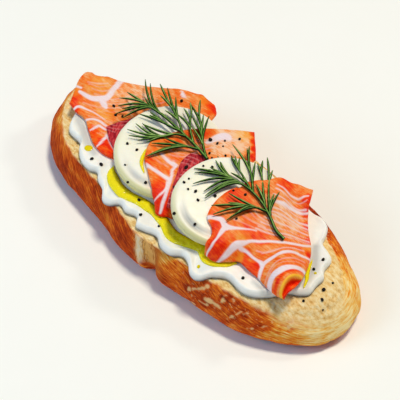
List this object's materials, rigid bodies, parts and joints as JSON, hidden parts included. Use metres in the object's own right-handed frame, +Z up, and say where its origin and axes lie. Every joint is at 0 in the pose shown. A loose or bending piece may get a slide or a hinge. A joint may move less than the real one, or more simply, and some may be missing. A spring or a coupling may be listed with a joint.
{
  "type": "open sandwich",
  "caption": "Open sandwich: half a crusty loaf spread with soft cheese and oil, topped with overlapping slices of salmon, dark cured fish and mozzarella.",
  "frame": {"origin": "middle of the flat base that the loaf rests on", "axes": "+X along the loaf towards its blunt end, +Z up through the toppings, -Y towards the side with the creased crust"},
  "size_m": [0.1994, 0.082, 0.0498],
  "materials": {
    "bread": "brown floury crust with a pale crumb on the cut face, matt",
    "cream": "white soft cheese, smooth, satin",
    "oil": "clear yellow oil, glossy",
    "salmon": "orange fish with white lines of fat, moist",
    "cured_fish": "dark red fish with fine pale lines, moist",
    "mozzarella": "white cheese, smooth and moist",
    "dill": "dark green herb with a slight gloss",
    "pepper": "cracked black pepper, matt"
  },
  "bodies": {
    "root": {"bread": "bread", "cream": "cream", "oil": "oil", "salmon_1": "salmon", "salmon_2": "salmon", "salmon_3": "salmon", "cured_1": "cured_fish", "cured_2": "cured_fish", "mozzarella_1": "mozzarella", "mozzarella_2": "mozzarella"}
  },
  "joints": []
}
